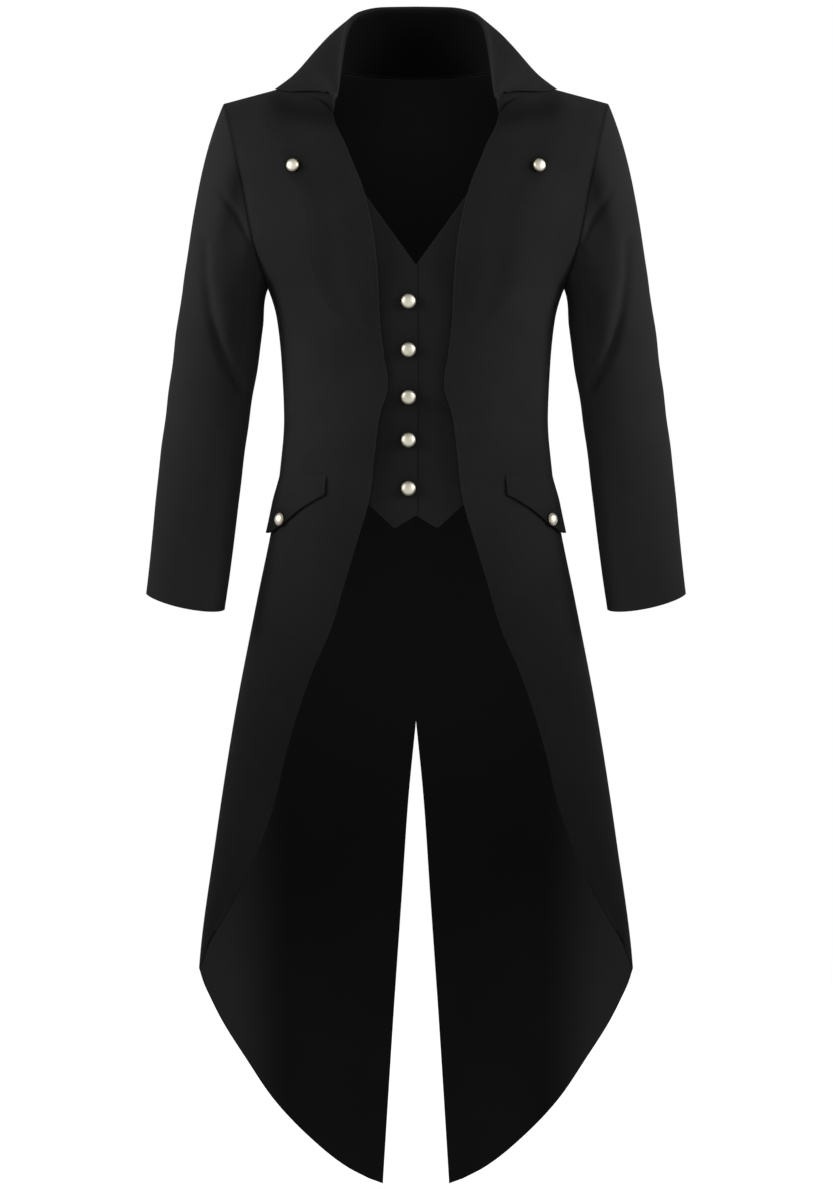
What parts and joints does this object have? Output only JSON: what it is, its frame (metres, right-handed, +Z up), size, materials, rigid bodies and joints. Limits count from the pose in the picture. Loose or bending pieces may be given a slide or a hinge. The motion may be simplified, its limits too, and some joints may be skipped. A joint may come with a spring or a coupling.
{
  "type": "long tailcoat with a waistcoat front",
  "caption": "Long black tailcoat with a tall turned-over collar, broad lapels, a waistcoat front sewn inside, hip flaps and two pointed tails",
  "frame": {"origin": "between the two shoulder points, at their height, in the plane of the side seams, where the coat hangs from its wearer", "axes": "+Z up along the wearer's spine, -Y is the front of the coat, +X is to the right of someone who looks at the front"},
  "size_m": [0.648, 0.2934, 1.4147],
  "materials": {
    "coat_cloth": "matte black woven twill with a short nap",
    "waistcoat_cloth": "matte black woven cloth, a little finer and darker than the coat",
    "button_brass": "pale antique brass, softly polished dome"
  },
  "bodies": {
    "root": {"back_left": "coat_cloth", "back_right": "coat_cloth", "collar": "coat_cloth", "front_left": "coat_cloth", "front_right": "coat_cloth", "hip_flap_left": "coat_cloth", "hip_flap_right": "coat_cloth", "lapel_left": "coat_cloth", "lapel_right": "coat_cloth", "sleeve_under_left": "coat_cloth", "sleeve_under_right": "coat_cloth", "sleeve_upper_left": "coat_cloth", "sleeve_upper_right": "coat_cloth", "waistcoat_left": "waistcoat_cloth", "waistcoat_right": "waistcoat_cloth", "lapel_button_left": "button_brass", "lapel_button_right": "button_brass", "flap_button_left": "button_brass", "flap_button_right": "button_brass", "waistcoat_button_1": "button_brass", "waistcoat_button_2": "button_brass", "waistcoat_button_3": "button_brass", "waistcoat_button_4": "button_brass", "waistcoat_button_5": "button_brass"}
  },
  "joints": []
}
